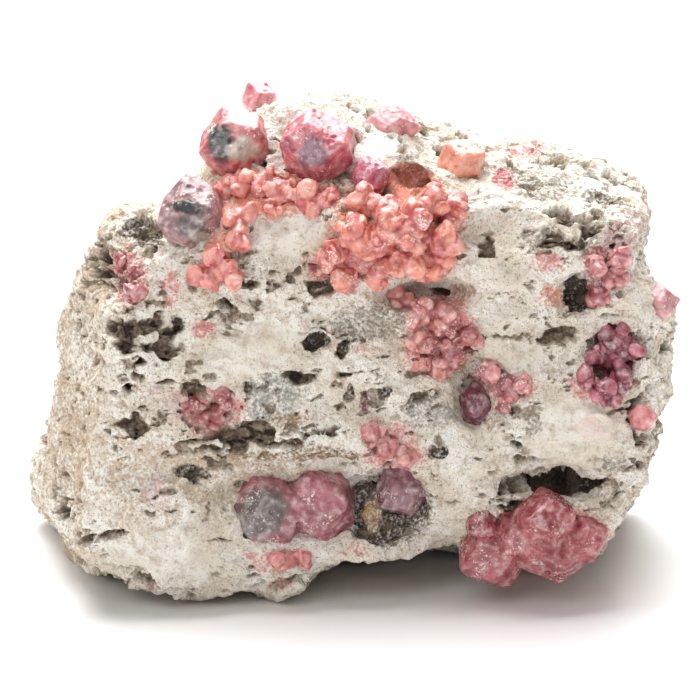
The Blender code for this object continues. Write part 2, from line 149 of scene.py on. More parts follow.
FINE_SIZE, FINE_HEIGHT = 0.005, 0.0006
# The noise of the solid is read before the solid is centred on the origin.
BEFORE_CENTRING = HEART - Vector((0, 0, 0.0327))

# Smooth chalky patches: right, up, half length, half width and lean.
CHALK_MM = (
    (-14.3, 0.0, 7.8, 4.0, 20), (4.3, 31.1, 3.7, 3.1, -20), (34.9, -12.7, 8.5, 5.3, 5),
    (-28.7, -32.0, 9.6, 4.0, -5), (25.0, -1.0, 5.0, 2.6, 0), (-9.3, 17.9, 6.5, 3.4, 0),
)

# Stains: colour, how full it is, then right, up, half length, half width and lean. The first colour, near
# black, is painted shade for holes and pits, not a stain.
HOLE_SHADE, GREY, COOL_GREY = (0.085, 0.066, 0.055), (0.30, 0.27, 0.23), (0.33, 0.33, 0.31)
BROWN, BEIGE, TAN = (0.28, 0.18, 0.10), (0.56, 0.44, 0.32), (0.50, 0.30, 0.13)
CORAL, PINK, ROSE = (0.82, 0.33, 0.24), (0.74, 0.30, 0.29), (0.52, 0.16, 0.17)
PLUM, MAUVE, BLUSH = (0.22, 0.075, 0.11), (0.62, 0.42, 0.42), (0.82, 0.66, 0.60)
STAINS_MM = (
    (BEIGE, 0.55, (-16.3, -21.0, 13.0, 5.0, -8)), (BEIGE, 0.5, (-33.0, -18.0, 8.0, 11.0, 0)),
    (BEIGE, 0.4, (-28.0, -10.9, 8.5, 5.4, 0)),
    (HOLE_SHADE, 0.75, (-32.3, 18.6, 4.3, 1.9, 0)), (HOLE_SHADE, 0.7, (-36.0, 11.2, 1.4, 1.1, 0)),
    (GREY, 0.9, (9.6, 27.6, 2.0, 2.8, 0)), (HOLE_SHADE, 0.8, (9.6, 26.2, 1.9, 1.2, 0)),
    (GREY, 0.6, (30.3, 25.6, 5.9, 2.8, 5)), (HOLE_SHADE, 0.55, (39.3, 23.9, 3.1, 1.1, 0)),
    (HOLE_SHADE, 0.6, (37.3, 18.3, 1.4, 2.8, 0)), (HOLE_SHADE, 0.9, (34.9, 8.1, 2.6, 2.6, 0)),
    (GREY, 0.5, (30.3, 17.4, 3.9, 1.9, 0)), (GREY, 0.6, (3.4, 4.7, 6.8, 3.7, 5)),
    (HOLE_SHADE, 0.9, (-5.4, 1.1, 1.9, 1.2, 0)), (HOLE_SHADE, 0.8, (-0.6, 0.0, 0.9, 1.7, 0)),
    (COOL_GREY, 0.6, (-12.1, -7.5, 5.9, 4.0, 10)), (COOL_GREY, 0.5, (12.1, -10.1, 5.6, 2.3, 0)),
    (HOLE_SHADE, 0.8, (13.2, -15.1, 1.9, 1.4, 0)), (HOLE_SHADE, 0.8, (5.4, -12.6, 2.5, 0.8, -15)),
    (HOLE_SHADE, 0.7, (-0.8, -7.1, 1.2, 1.1, 0)), (HOLE_SHADE, 0.7, (5.6, -6.7, 1.2, 0.8, 0)),
    (HOLE_SHADE, 0.7, (-16.3, -6.2, 1.1, 0.8, 0)), (HOLE_SHADE, 0.7, (-24.5, -19.9, 3.1, 1.1, -10)),
    (BROWN, 0.65, (-15.2, -13.4, 4.7, 1.4, 5)), (BROWN, 0.6, (-9.3, -10.9, 3.4, 1.2, 0)),
    (BROWN, 0.6, (-7.8, -16.5, 11.2, 1.2, 3)), (GREY, 0.6, (28.3, -11.5, 1.9, 2.5, 0)),
    (HOLE_SHADE, 0.95, (33.4, -20.0, 7.0, 1.2, 0)), (HOLE_SHADE, 0.75, (5.4, -25.6, 7.5, 5.3, 0)),
    (TAN, 0.7, (3.4, -25.2, 1.6, 2.5, 0)), (HOLE_SHADE, 0.8, (-26.7, 4.3, 1.1, 1.2, 0)),
    (GREY, 0.6, (41.9, -18.0, 3.1, 1.4, 0)), (HOLE_SHADE, 0.8, (45.2, -13.7, 0.9, 1.4, 0)),
    (BROWN, 0.8, (43.5, -5.3, 1.9, 1.1, 0)), (TAN, 0.8, (15.8, -2.2, 2.2, 1.1, 10)),
    (TAN, 0.6, (10.9, 0.6, 0.9, 1.4, 0)), (HOLE_SHADE, 0.7, (-5.9, 36.2, 1.6, 0.8, 0)),
    (CORAL, 0.85, (-12.4, 24.4, 10.9, 3.7, 0)), (CORAL, 0.7, (-19.9, 17.4, 3.4, 7.5, 0)),
    (CORAL, 0.9, (7.0, 18.9, 10.6, 9.0, 0)), (PINK, 0.85, (-1.6, 13.2, 5.4, 4.0, 0)),
    (PINK, 0.8, (13.7, 1.9, 5.3, 7.1, -30)), (PINK, 0.65, (23.3, -5.4, 6.5, 2.0, -15)),
    (PINK, 0.65, (6.5, -15.5, 4.7, 4.7, -25)), (PLUM, 0.85, (40.7, -0.6, 3.7, 5.0, 0)),
    (PINK, 0.7, (38.0, -5.9, 4.7, 2.0, 0)), (ROSE, 0.7, (39.1, 12.1, 2.8, 5.3, -15)),
    (MAUVE, 0.55, (42.7, 18.9, 3.4, 3.7, 0)), (ROSE, 0.6, (-34.5, 11.5, 3.4, 4.7, 0)),
    (PINK, 0.6, (-27.6, 9.3, 1.6, 2.8, 0)), (PINK, 0.6, (-23.0, 3.1, 2.2, 1.6, 0)),
    (PINK, 0.6, (-22.5, -9.0, 6.2, 3.4, -10)), (MAUVE, 0.4, (-28.7, -7.8, 3.1, 2.5, 0)),
    (PINK, 0.65, (31.4, -30.3, 11.2, 7.0, 0)), (MAUVE, 0.6, (-30.3, -21.7, 2.2, 2.8, 0)),
    (PINK, 0.55, (30.7, 13.7, 3.1, 2.2, 0)), (CORAL, 0.6, (30.7, 7.8, 1.9, 1.9, 0)),
    (ROSE, 0.85, (24.5, 26.7, 1.9, 1.6, 0)), (PINK, 0.7, (13.7, 35.4, 1.4, 0.6, 0)),
    (PINK, 0.8, (27.6, 31.7, 3.4, 0.8, -3)), (PINK, 0.7, (-0.8, 40.1, 1.9, 0.8, 0)),
    (PINK, 0.7, (46.6, 23.3, 0.9, 2.3, 0)), (BLUSH, 0.6, (38.8, -12.1, 3.7, 2.8, 0)),
    (PLUM, 0.8, (2.3, -8.1, 1.2, 1.6, 0)), (PINK, 0.5, (1.9, 0.0, 1.2, 1.1, 0)),
    (PINK, 0.5, (-2.6, 2.3, 1.2, 1.1, 0)), (PINK, 0.55, (-11.6, -32.6, 5.0, 2.3, 0)),
    (ROSE, 0.7, (-10.9, -36.8, 2.2, 0.9, 0)), (MAUVE, 0.7, (-30.3, -37.0, 1.6, 1.1, 0)),
    (ROSE, 0.5, (1.6, -31.5, 3.4, 1.1, 0)), (ROSE, 0.85, (-5.0, 12.7, 2.0, 1.2, 0)),
)


def outline_reaches(steps):
    """How far the outline is from the heart in each of so many even directions."""
    corners = np.array(OUTLINE_MM) / 1000
    ends = np.roll(corners, -1, axis=0)
    reaches = np.zeros(steps)
    for k in range(steps):
        angle = 2 * math.pi * k / steps
        ray = np.array((math.cos(angle), math.sin(angle)))
        edge = ends - corners
        spread = ray[0] * edge[:, 1] - ray[1] * edge[:, 0]
        reach = (corners[:, 0] * edge[:, 1] - corners[:, 1] * edge[:, 0]) / spread
        share = (corners[:, 0] * ray[1] - corners[:, 1] * ray[0]) / spread
        reaches[k] = reach[(reach > 0) & (share >= -1e-9) & (share <= 1 + 1e-9)].max()
    return reaches


REACHES = outline_reaches(720)


def block_radii(directions):
    """The distance from the heart to the block's surface in each direction."""
    right, up, away = directions @ np.array(RIGHT), directions @ np.array(UP), directions @ np.array(AWAY)
    turn = np.arctan2(up, right) / (2 * math.pi) * len(REACHES)
    low = np.floor(turn).astype(int)
    part = turn - low
    reach = REACHES[low % len(REACHES)] * (1 - part) + REACHES[(low + 1) % len(REACHES)] * part
    facing = np.hypot(right, up) * EYE_DISTANCE - reach * away
    crowding = np.zeros(len(directions))
    seen = facing > 0
    crowding[seen] += (reach[seen] * EYE_DISTANCE / facing[seen]) ** -EDGE_SHARPNESS
    for plane, distance in BREAKS_MM:
        lean = directions @ np.array(Vector(plane).normalized())
        out = lean > 0.01
        crowding[out] += (distance / 1000 / lean[out]) ** -EDGE_SHARPNESS
    return crowding ** (-1 / EDGE_SHARPNESS)


def face_places(points):
    """Where points are seen on the garnet face: millimetres right of the heart and up from it."""
    sight = points - np.array(EYE)
    scale = EYE_DISTANCE * 1000 / (sight @ np.array(AWAY))
    return (sight @ np.array(RIGHT)) * scale, (sight @ np.array(UP)) * scale


def patch_distance(right, up, place):
    """How far a place is from a patch's middle, as a share of the patch's own reach that way."""
    across, above, length, width, lean = place
    east, north, turn = right - across, up - above, math.radians(lean)
    along = (east * math.cos(turn) + north * math.sin(turn)) / length
    beside = (north * math.cos(turn) - east * math.sin(turn)) / width
    return np.hypot(along, beside)


def chance(cells, seed):
    """A chance from 0 to 1 for each whole-number cell of space."""
    x, y, z = (cells[:, axis].astype(np.int64).astype(np.uint32) for axis in range(3))
    mixed = x * np.uint32(73856093) ^ y * np.uint32(19349663) ^ z * np.uint32(83492791)
    mixed ^= np.uint32(seed * 2654435761 % 4294967296)
    mixed ^= mixed >> np.uint32(13)
    mixed *= np.uint32(1540483477)
    mixed ^= mixed >> np.uint32(15)
    mixed *= np.uint32(2246822519)
    mixed ^= mixed >> np.uint32(13)
    return mixed / 4294967296


def unevenness(points, size, octaves=3, seed=0):
    """Smooth unevenness of this size, -1 to 1."""
    total, weight, gain = np.zeros(len(points)), 0.0, 1.0
    for octave in range(octaves):
        scaled = points / size * 2 ** octave + 17.3 * octave
        whole = np.floor(scaled)
        part = scaled - whole
        part = part * part * (3 - 2 * part)
        value = np.zeros(len(points))
        for corner in itertools.product((0, 1), repeat=3):
            nearness = np.ones(len(points))
            for axis in range(3):
                nearness *= part[:, axis] if corner[axis] else 1 - part[:, axis]
            value += nearness * chance(whole + corner, seed + octave)
        total += gain * (2 * value - 1)
        weight += gain
        gain *= 0.5
    return total / weight


def lumps(points, size, seed=0):
    """For lumps of this size: how far the nearest one's middle is, and that one's chance."""
    scaled = points / size
    whole = np.floor(scaled)
    nearest = np.full(len(points), 9.0)
    luck = np.zeros(len(points))
    for step in itertools.product((-1, 0, 1), repeat=3):
        cell = whole + step
        middle = cell + np.stack([chance(cell, seed + k) for k in (1, 2, 3)], axis=1)
        distance = np.sqrt(((scaled - middle) ** 2).sum(axis=1))
        closer = distance < nearest
        nearest = np.where(closer, distance, nearest)
        luck = np.where(closer, chance(cell, seed + 4), luck)
    return nearest, luck


def dome(distance, width):
    """A rounded top, 1 in the middle and 0 from this width on."""
    return np.sqrt(np.clip(1 - (distance / width) ** 2, 0, 1))


def coordinates(mesh):
    """A mesh's points as an array."""
    points = np.empty(len(mesh.vertices) * 3)
    mesh.vertices.foreach_get("co", points)
    return points.reshape(-1, 3)


def normals(mesh):
    """A mesh's point normals as an array."""
    directions = np.empty(len(mesh.vertices) * 3)
    mesh.vertices.foreach_get("normal", directions)
    return directions.reshape(-1, 3)


def move_points(mesh, points):
    """Puts a mesh's points at these places."""
    mesh.vertices.foreach_set("co", np.asarray(points, float).ravel())
    mesh.update()


def linked(name, mesh):
    """A new object with this mesh in the scene."""
    thing = bpy.data.objects.new(name, mesh)
    bpy.context.scene.collection.objects.link(thing)
    return thing


def settle(thing):
    """The object's mesh becomes what its modifiers make of it."""
    graph = bpy.context.evaluated_depsgraph_get()
    thing.data = bpy.data.meshes.new_from_object(thing.evaluated_get(graph))
    thing.modifiers.clear()


def block_surface():
    """The block's main shape, as the solid has it, as an object."""
    bm = bmesh.new()
    bmesh.ops.create_icosphere(bm, subdivisions=7, radius=1.0)
    mesh = bpy.data.meshes.new("matrix_rock")
    bm.to_mesh(mesh)
    bm.free()
    directions = coordinates(mesh)
    directions /= np.linalg.norm(directions, axis=1)[:, None]
    points = np.array(HEART) + directions * block_radii(directions)[:, None]
    before = points - np.array(BEFORE_CENTRING)
    coarse = np.array([noise.fractal(p, 1.0, 2.0, 2, noise_basis="BLENDER") for p in before / COARSE_SIZE])
    fine = np.array([noise.turbulence(p, 2, True) for p in before / FINE_SIZE]) - 0.8
    points += directions * (coarse * COARSE_HEIGHT + fine * FINE_HEIGHT)[:, None]
    toward_eye = np.array(EYE) - points
    toward_eye /= np.linalg.norm(toward_eye, axis=1)[:, None]
    face_share = np.clip((-(directions @ np.array(AWAY)) - 0.05) / 0.35, 0, 1)
    right, up = face_places(points)
    stand = sum(swell[5] * np.exp(-patch_distance(right, up, swell[:5]) ** 3) for swell in RELIEF_MM)
    points += toward_eye * (stand / 1000 * face_share)[:, None]
    points[:, 2] = np.maximum(points[:, 2], 0)
    move_points(mesh, points)
    return linked("matrix_rock", mesh)


# The block is meshed in three parts that overlap a little, the two at the front finer than the back:
# voxel, triangles kept, and the planes that bound it, each a direction and how far along it.
PARTS = {
    "matrix_left": (0.00022, 195000, (((0, 1, 0), 0.0120), ((1, 0, 0), -0.0030))),
    "matrix_right": (0.00022, 195000, (((0, 1, 0), 0.0120), ((-1, 0, 0), 0.0045))),
    "matrix_back": (0.00040, 80000, (((0, -1, 0), -0.0105),)),
}


# The rock parts along gently tilted layers: what lies across them is squeezed by this much.
LAYERING = np.array(Matrix.Rotation(math.radians(16), 3, "Y") @ Matrix.Diagonal((0.8, 0.9, 1.45)))


def block_part(block, name, planes):
    """The part of the block inside the planes, as a closed object of its own."""
    bm = bmesh.new()
    bm.from_mesh(block.data)
    for direction, distance in planes:
        away = Vector(direction)
        cut = bmesh.ops.bisect_plane(
            bm, geom=bm.verts[:] + bm.edges[:] + bm.faces[:], dist=1e-8,
            plane_co=away * distance, plane_no=away, clear_outer=True,
        )
        rim = [piece for piece in cut["geom_cut"] if isinstance(piece, bmesh.types.BMEdge)]
        bmesh.ops.holes_fill(bm, edges=rim, sides=0)
    mesh = bpy.data.meshes.new(name)
    bm.to_mesh(mesh)
    bm.free()
    return linked(name, mesh)


def near_cuts(points, planes):
    """1 along the flat cuts between the block's parts and 0 a little away from them, and how the rims
    there are drawn in, so that they lie under the part next to them."""
    share, drawn_in = np.zeros(len(points)), np.zeros_like(points)
    for direction, distance in planes:
        across = np.array(direction, float)
        near = np.clip(1 - (distance - points @ across - 0.0002) / 0.0003, 0, 1)
        inward = np.array(HEART) - points
        inward -= (inward @ across)[:, None] * across
        reach = np.maximum(np.linalg.norm(inward, axis=1), 1e-6)
        drawn_in += inward / reach[:, None] * (near * 0.0032 * np.minimum(1, reach / 0.012))[:, None]
        share = np.maximum(share, near)
    return share, drawn_in


def facing_eye(points, outward):
    """How far each point of a surface is turned to the eye, -1 to 1."""
    toward = np.array(EYE) - points
    toward /= np.linalg.norm(toward, axis=1)[:, None]
    return (outward * toward).sum(axis=1)


def ragged_places(points):
    """Places on the garnet face with torn borders, for stains and patches."""
    right, up = face_places(points)
    right = right + 1.5 * unevenness(points, 0.0042, 3, 11) + 0.5 * unevenness(points, 0.0011, 2, 12)
    up = up + 1.5 * unevenness(points, 0.0042, 3, 13) + 0.5 * unevenness(points, 0.0011, 2, 14)
    return right, up


def stains(points, outward, facing):
    """The stain's colour at each point, with how full it is in the fourth column; the near-black ones are
    painted shade in holes and pits.
    """
    right, up = ragged_places(points)
    colour = np.empty((len(points), 4))
    worn = unevenness(points, 0.009, 3, 15)
    colour[:, :3] = np.array(BEIGE) * (0.85 + 0.25 * worn)[:, None]
    west = np.clip((outward[:, 0] * -1 - 0.45) / 0.25, 0, 1)
    colour[:, 3] = np.clip(0.55 + 0.6 * worn, 0.15, 0.95) * np.maximum(1 - facing, west)
    for stain, fullness, place in STAINS_MM:
        share = np.clip((1.15 - patch_distance(right, up, place)) / 0.35, 0, 1) * facing
        colour[:, :3] += (np.array(stain) - colour[:, :3]) * share[:, None]
        colour[:, 3] += (fullness - colour[:, 3]) * share
    return colour


def chalkiness(points, facing):
    """How smooth and chalky the surface is at each point, 0 to 1."""
    right, up = ragged_places(points)
    smooth = np.zeros(len(points))
    for place in CHALK_MM:
        share = np.clip((1.15 - patch_distance(right, up, place)) / 0.35, 0, 1)
        smooth = np.maximum(smooth, share * facing)
    return smooth


def evened(thing, voxel):
    """An even mesh of one closed surface for all that the object holds."""
    remesh = thing.modifiers.new("even", "REMESH")
    remesh.mode = "VOXEL"
    remesh.voxel_size = voxel
    settle(thing)


def weathered(rock, voxel, triangles, planes):
    """Breaks the smooth block up into lumps, crevices and pores, stains it, and gives its pores and caves
    painted shade.
    """
    evened(rock, voxel)
    mesh = rock.data
    points, outward = coordinates(mesh), normals(mesh)
    facing = np.clip((facing_eye(points, outward) + 0.1) / 0.3, 0, 1)
    smooth = chalkiness(points, facing)
    colour = stains(points, outward, facing)
    warp = np.stack([unevenness(points, 0.0016, 3, seed) for seed in (21, 22, 23)], axis=1)
    bent = (points @ LAYERING.T) + warp * 0.0008
    porous = np.clip(0.45 + 1.5 * unevenness(points, 0.012, 3, 24), 0, 1) * (1 - 0.95 * smooth)
    rough = (1 - 0.75 * smooth) * (0.65 + 0.35 * porous)
    # Where a stain is near black it is painted shade of a hole: the rock is sunk and made porous there.
    dark = np.clip((0.16 - colour[:, :3].mean(axis=1)) / 0.08, 0, 1) * colour[:, 3] * facing
    porous = np.maximum(porous, dark)
    clods = 1 - 2.6 * np.abs(unevenness(bent, 0.0075, 3, 31))
    far, luck = lumps(bent, 0.0023, 41)
    crumb = dome(far, 0.9) * (0.4 + 1.2 * luck)
    far, luck = lumps(points + warp * 0.0005, 0.0010, 51)
    bead = dome(far, 0.85) * (0.3 + 1.4 * luck)
    caves = np.clip((unevenness(bent, 0.0042, 4, 61) - 0.42 + 0.30 * porous) / 0.10, 0, 1)
    pores = np.clip((unevenness(bent, 0.0016, 3, 62) - 0.40 + 0.26 * porous) / 0.10, 0, 1)
    fuzz = unevenness(points, 0.0006, 2, 55)
    height = 0.0010 * clods + (0.00042 * crumb + 0.00030 * bead + 0.00018 * fuzz) * rough - 0.00115
    height -= (0.0017 * caves + 0.0008 * pores) * (1 - 0.9 * smooth) + 0.0013 * dark
    inner, drawn_in = near_cuts(points, planes)
    points = points + (outward * height[:, None] + warp * 0.0002) * (1 - inner)[:, None] + drawn_in
    points[:, 2] = np.maximum(points[:, 2], 0)
    move_points(mesh, points)
    # Painted shade: how deep each point lies in a cave, a pore or a gap between crumbs, which the material
    # darkens.
    low = np.clip(0.8 - 0.6 * crumb - 0.5 * bead, 0, 1)
    hollow = np.clip(0.8 * caves + 0.6 * pores + 0.5 * low * porous, 0, 1) * (1 - 0.8 * smooth)
    write_attributes(mesh, colour, hollow, smooth)
    thinned(rock, triangles)


def thinned(thing, triangles):
    """The same shape with no more than this many triangles."""
    thing.data.transform(Matrix.Scale(1000, 4))
    thin = thing.modifiers.new("thin", "DECIMATE")
    thin.ratio = min(1.0, triangles / (len(thing.data.polygons) * 2))
    settle(thing)
    thing.data.transform(Matrix.Scale(0.001, 4))


def write_attributes(mesh, colour, hollow, smooth):
    """What the rock's material reads: its stain, the painted shade of its pores and caves, and how chalky."""
    stain = mesh.attributes.new("stain", "FLOAT_COLOR", "POINT")
    stain.data.foreach_set("color", colour.ravel())
    for name, values in (("hollow", hollow), ("chalk", smooth)):
        attribute = mesh.attributes.new(name, "FLOAT", "POINT")
        attribute.data.foreach_set("value", values)


def add_node(tree, kind, **values):
    """A new node, its settings and inputs given by name; an output given as a value is wired in."""
    node = tree.nodes.new(kind)
    for name, value in values.items():
        title = name.replace("_", " ")
        socket = next((s for s in node.inputs if s.name.lower() == title and s.enabled), None)
        if socket is None:
            setattr(node, name, value)
        elif isinstance(value, bpy.types.NodeSocket):
            tree.links.new(value, socket)
        else:
            socket.default_value = value
    return node


def blend_colours(tree, share, below, above):
    """The colour between two, as an output."""
    node = tree.nodes.new("ShaderNodeMix")
    node.data_type = "RGBA"
    for socket, value in zip((node.inputs[0], node.inputs[6], node.inputs[7]), (share, below, above)):
        if isinstance(value, bpy.types.NodeSocket):
            tree.links.new(value, socket)
        elif isinstance(value, (tuple, list)):
            socket.default_value = (*value[:3], 1)
        else:
            socket.default_value = value
    return node.outputs[2]


def sums(tree, operation, *values):
    """A sum of two or three numbers or outputs, as an output."""
    node = tree.nodes.new("ShaderNodeMath")
    node.operation = operation
    for socket, value in zip(node.inputs, values):
        if isinstance(value, bpy.types.NodeSocket):
            tree.links.new(value, socket)
        else:
            socket.default_value = value
    return node.outputs[0]


def grain(tree, place, size, detail=2.0):
    """Noise of this size in metres, about 0 to 1, as an output."""
    node = add_node(tree, "ShaderNodeTexNoise", vector=place, scale=1 / size, detail=detail)
    return node.outputs["Fac"]


def ramp(tree, share, low, high):
    """0 below the low value, 1 above the high one, as an output."""
    node = add_node(tree, "ShaderNodeMapRange", value=share, from_min=low, from_max=high)
    return node.outputs["Result"]


WHITE, CREAM, OLD_CREAM = (0.86, 0.83, 0.77), (0.74, 0.67, 0.57), (0.60, 0.51, 0.40)


def rock_material():
    """White to cream rock with fine tan specks, painted brown shade in its pores, and the stains that its
    points carry.
    """
    material = bpy.data.materials.new("matrix_rock")
    material.use_nodes = True
    tree = material.node_tree
    place = add_node(tree, "ShaderNodeTexCoord").outputs["Object"]
    stain = add_node(tree, "ShaderNodeAttribute", attribute_name="stain")
    hollow = add_node(tree, "ShaderNodeAttribute", attribute_name="hollow").outputs["Fac"]
    chalk = add_node(tree, "ShaderNodeAttribute", attribute_name="chalk").outputs["Fac"]
    broad = grain(tree, place, 0.007, 3.0)
    mottle = grain(tree, place, 0.0016, 4.0)
    fine = grain(tree, place, 0.0005, 3.0)
    dust = grain(tree, place, 0.00028, 2.0)
    ground = blend_colours(tree, ramp(tree, broad, 0.38, 0.60), CREAM, WHITE)
    aged = sums(tree, "MULTIPLY", ramp(tree, mottle, 0.50, 0.68), 0.75)
    ground = blend_colours(tree, aged, ground, OLD_CREAM)
    ground = blend_colours(tree, sums(tree, "MULTIPLY", ramp(tree, fine, 0.56, 0.66), 0.6), ground, OLD_CREAM)
    rub = sums(tree, "ADD", sums(tree, "MULTIPLY", mottle, 0.5), fine)
    speckle = sums(tree, "MULTIPLY_ADD", sums(tree, "SUBTRACT", rub, 0.75), 2.2, stain.outputs["Alpha"])
    stained = blend_colours(tree, ramp(tree, speckle, 0.25, 0.85), ground, stain.outputs["Color"])
    clean = sums(tree, "MULTIPLY_ADD", chalk, -0.75, 0.85)
    specks = sums(tree, "MULTIPLY", ramp(tree, dust, 0.60, 0.70), clean)
    specked = blend_colours(tree, specks, stained, (0.27, 0.19, 0.12))
    # Painted shade: pores and caves turn brown, and near black where deepest.
    pore_shade_depth = sums(tree, "MULTIPLY_ADD", sums(tree, "SUBTRACT", fine, 0.5), 0.8, hollow)
    specked = blend_colours(tree, ramp(tree, pore_shade_depth, 0.15, 0.75), specked, (0.34, 0.27, 0.20))
    colour = blend_colours(tree, ramp(tree, pore_shade_depth, 0.60, 1.0), specked, (0.10, 0.072, 0.055))
    surface = tree.nodes["Principled BSDF"]
    tree.links.new(colour, surface.inputs["Base Color"])
    surface.inputs["Roughness"].default_value = 0.85
    surface.inputs["Specular IOR Level"].default_value = 0.3
    relief = sums(tree, "ADD", sums(tree, "MULTIPLY", fine, 0.6), sums(tree, "MULTIPLY", dust, 0.4))
    bump = add_node(tree, "ShaderNodeBump", height=relief, strength=1.0, distance=0.0004)
    tree.links.new(bump.outputs["Normal"], surface.inputs["Normal"])
    return material


block = block_surface()
rock_paint = rock_material()
for name, (voxel, triangles, planes) in PARTS.items():
    rock = block_part(block, name, planes)
    weathered(rock, voxel, triangles, planes)
    rock.data.materials.clear()
    rock.data.materials.append(rock_paint)
    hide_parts("matrix")
    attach(rock, "root")


def surface_of(thing):
    """The object's surface, as something that lines of sight are cast on."""
    mesh = thing.data
    mesh.calc_loop_triangles()
    corners = np.empty(len(mesh.loop_triangles) * 3, dtype=np.int32)
    mesh.loop_triangles.foreach_get("vertices", corners)
    return BVHTree.FromPolygons(coordinates(mesh).tolist(), corners.reshape(-1, 3).tolist())


block_skin = surface_of(block)
bpy.data.objects.remove(block)


# The crusts of small garnets: rounded, glassy crystals of 1 to 5 mm grown into one another, coral to
# raspberry, which line the hollows and seams of the matrix. Each crust is one closed piece.
DODECAHEDRON = np.array([
    (1, 1, 0), (1, -1, 0), (-1, 1, 0), (-1, -1, 0), (1, 0, 1), (1, 0, -1),
    (-1, 0, 1), (-1, 0, -1), (0, 1, 1), (0, 1, -1), (0, -1, 1), (0, -1, -1),
]) / math.sqrt(2)


def ball(level):
    """The points and triangles of an even ball of radius 1."""
    bm = bmesh.new()
    bmesh.ops.create_icosphere(bm, subdivisions=level, radius=1.0)
    points = np.array([vert.co for vert in bm.verts])
    triangles = np.array([[vert.index for vert in face.verts] for face in bm.faces])
    bm.free()
    return points, triangles


BALLS = {level: ball(level) for level in (2, 3)}


def worn_crystal(rng, half_width, level, sharpness=34, unevenness_share=0.2):
    """The points of a worn dodecahedral crystal about its own centre, turned at random."""
    directions = BALLS[level][0]
    turn = np.array(Euler([rng.uniform(0, 2 * math.pi) for _ in range(3)]).to_matrix())
    faces = DODECAHEDRON @ turn.T
    reach = np.array([half_width * (1 + rng.uniform(-1, 1) * unevenness_share) for _ in faces])
    lean = np.maximum(directions @ faces.T, 1e-6) / reach
    return directions * ((lean ** sharpness).sum(axis=1) ** (-1 / sharpness))[:, None]


def sight_place(surface, right, up, stand=0.0):
    """The place seen at (right, up) on this surface, moved towards the eye by the stand, and its normal."""
    aim = HEART + (RIGHT * right + UP * up) / 1000
    sight = (aim - EYE).normalized()
    place, normal, _, _ = surface.ray_cast(EYE, sight)
    if place is None:
        nearest, normal, _, _ = surface.find_nearest(aim)
        place = EYE + sight * ((nearest - EYE).dot(AWAY) / sight.dot(AWAY))
    return place - sight * stand / 1000, normal


def shells_mesh(name, shells):
    """One mesh of many closed shells, each a pair of points and triangles."""
    points = np.concatenate([shell[0] for shell in shells])
    counts = np.cumsum([0] + [len(shell[0]) for shell in shells[:-1]])
    triangles = np.concatenate([shell[1] + count for shell, count in zip(shells, counts)])
    mesh = bpy.data.meshes.new(name)
    mesh.from_pydata(points.tolist(), [], triangles.tolist())
    mesh.update()
    return mesh


def cluster_grains(rng, crystals, surface):
    """The grains that a group of crystals is made of: centre, half width and its own chance."""
    grains = []
    for right, up, half_width, stand in crystals:
        centre, normal = sight_place(surface, right, up, stand)
        grains.append((np.array(centre), half_width * 0.72 / 1000, rng.random()))
        for _ in range(8):
            way = Vector([rng.gauss(0, 1) for _ in range(3)]).normalized()
            if way.dot(normal) < -0.3:
                way = -way
            reach = half_width * rng.uniform(0.5, 0.95) / 1000
            share = rng.choice((0.2, 0.28, 0.36, 0.5, 0.62)) * rng.uniform(0.85, 1.15)
            grains.append((np.array(centre + way * reach), half_width * share / 1000, rng.random()))
    return grains


def grown_crust(name, grains, voxel, seed):
    """One closed piece of all the grains, with what each point belongs to."""
    rng = random.Random(seed)
    shells = []
    for centre, half_width, _ in grains:
        level = 3 if half_width > 0.0008 else 2
        shells.append((worn_crystal(rng, half_width, level) + centre, BALLS[level][1]))
    crust = linked(name, shells_mesh(name, shells))
    evened(crust, voxel)
    points, outward = coordinates(crust.data), normals(crust.data)
    centres = np.array([grain[0] for grain in grains])
    widths = np.array([grain[1] for grain in grains])
    lucks = np.array([grain[2] for grain in grains])
    luck, crease = np.empty(len(points)), np.empty(len(points))
    for first in range(0, len(points), 4000):
        some = slice(first, first + 4000)
        near = np.linalg.norm(points[some, None] - centres[None], axis=2) / widths
        order = np.argpartition(near, 1, axis=1)[:, :2] if len(grains) > 1 else np.zeros((len(near), 2), int)
        pair = np.sort(np.take_along_axis(near, order, axis=1), axis=1)
        luck[some] = lucks[np.argmin(near, axis=1)]
        crease[some] = np.clip(1 - (pair[:, 1] - pair[:, 0]) / 0.22, 0, 1)
    etched = unevenness(points, 0.0009, 3, 61)
    bend = np.stack([unevenness(points, 0.0022, 2, 64 + axis) for axis in range(3)], axis=1)
    points = points + outward * (0.00016 * etched - 0.00010 * crease)[:, None] + bend * 0.0005
    move_points(crust.data, points)
    return crust, luck, crease


def tinted(mesh, colours, haze):
    """What the garnet material reads: each point's own colour, and how frosted white it is."""
    tint = mesh.attributes.new("tint", "FLOAT_COLOR", "POINT")
    tint.data.foreach_set("color", np.concatenate([colours, np.ones((len(colours), 1))], axis=1).ravel())
    frost = mesh.attributes.new("haze", "FLOAT", "POINT")
    frost.data.foreach_set("value", haze)


